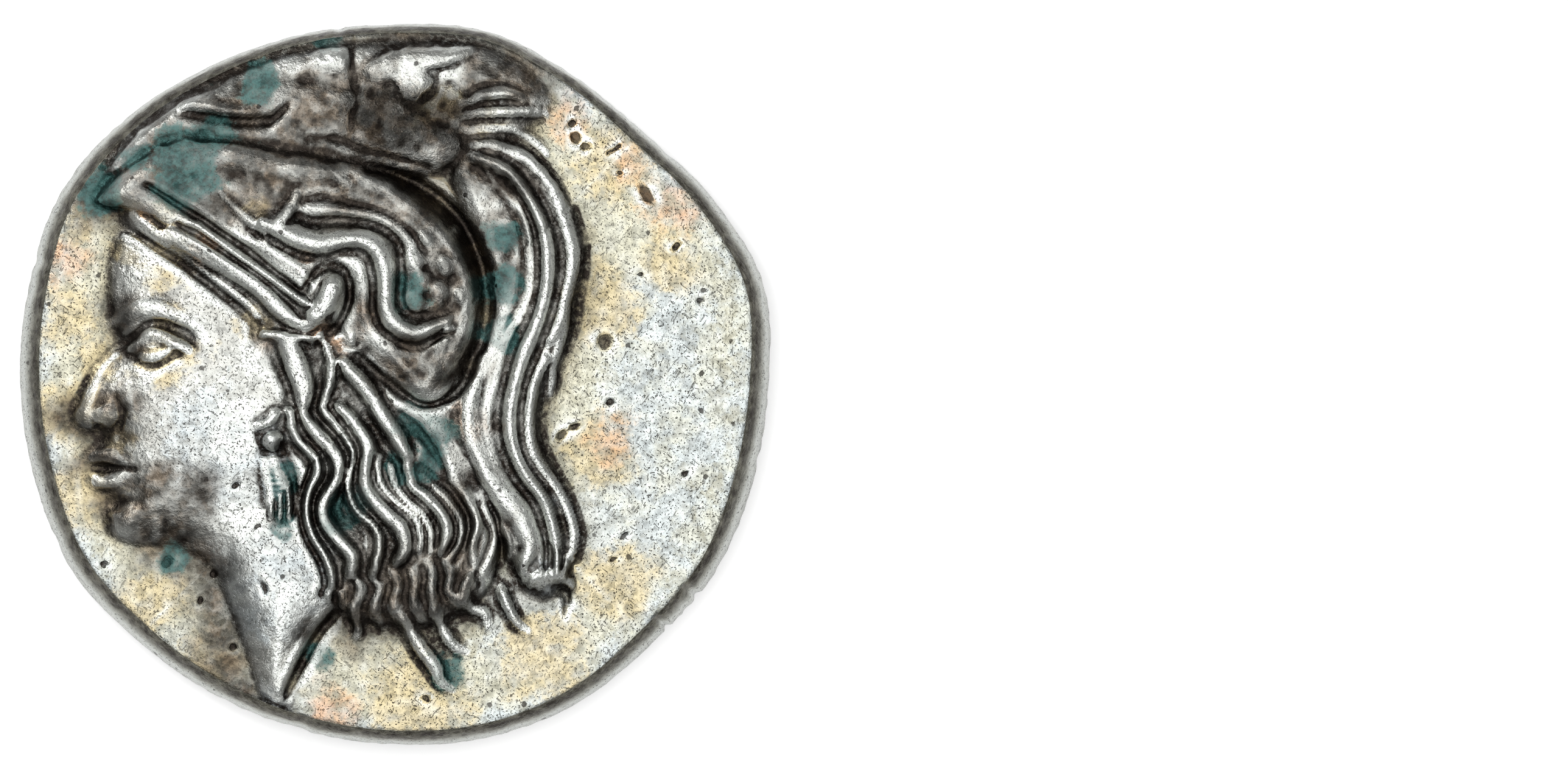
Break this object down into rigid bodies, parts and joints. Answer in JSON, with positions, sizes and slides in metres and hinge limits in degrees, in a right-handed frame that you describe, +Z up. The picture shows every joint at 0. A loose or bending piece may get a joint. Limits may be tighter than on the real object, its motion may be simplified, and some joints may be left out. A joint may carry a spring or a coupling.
{
  "type": "silver drachm",
  "caption": "Ancient struck silver coin with an uneven round flan: a helmeted head in high relief on one side, an owl in a dished field on the other",
  "frame": {"origin": "on the surface that the coin lies on, below the middle of the coin's box", "axes": "+Z up, out of the side with the helmeted head; +Y to the top of the head; +X to the back of the head"},
  "size_m": [0.017, 0.0162, 0.0026],
  "materials": {
    "toned_silver": "old struck silver, satin to bright on the high places, near black in the recesses, with cream and copper toning on the fields and small patches of green-blue patina"
  },
  "bodies": {
    "root": {"drachm": "toned_silver"}
  },
  "joints": []
}
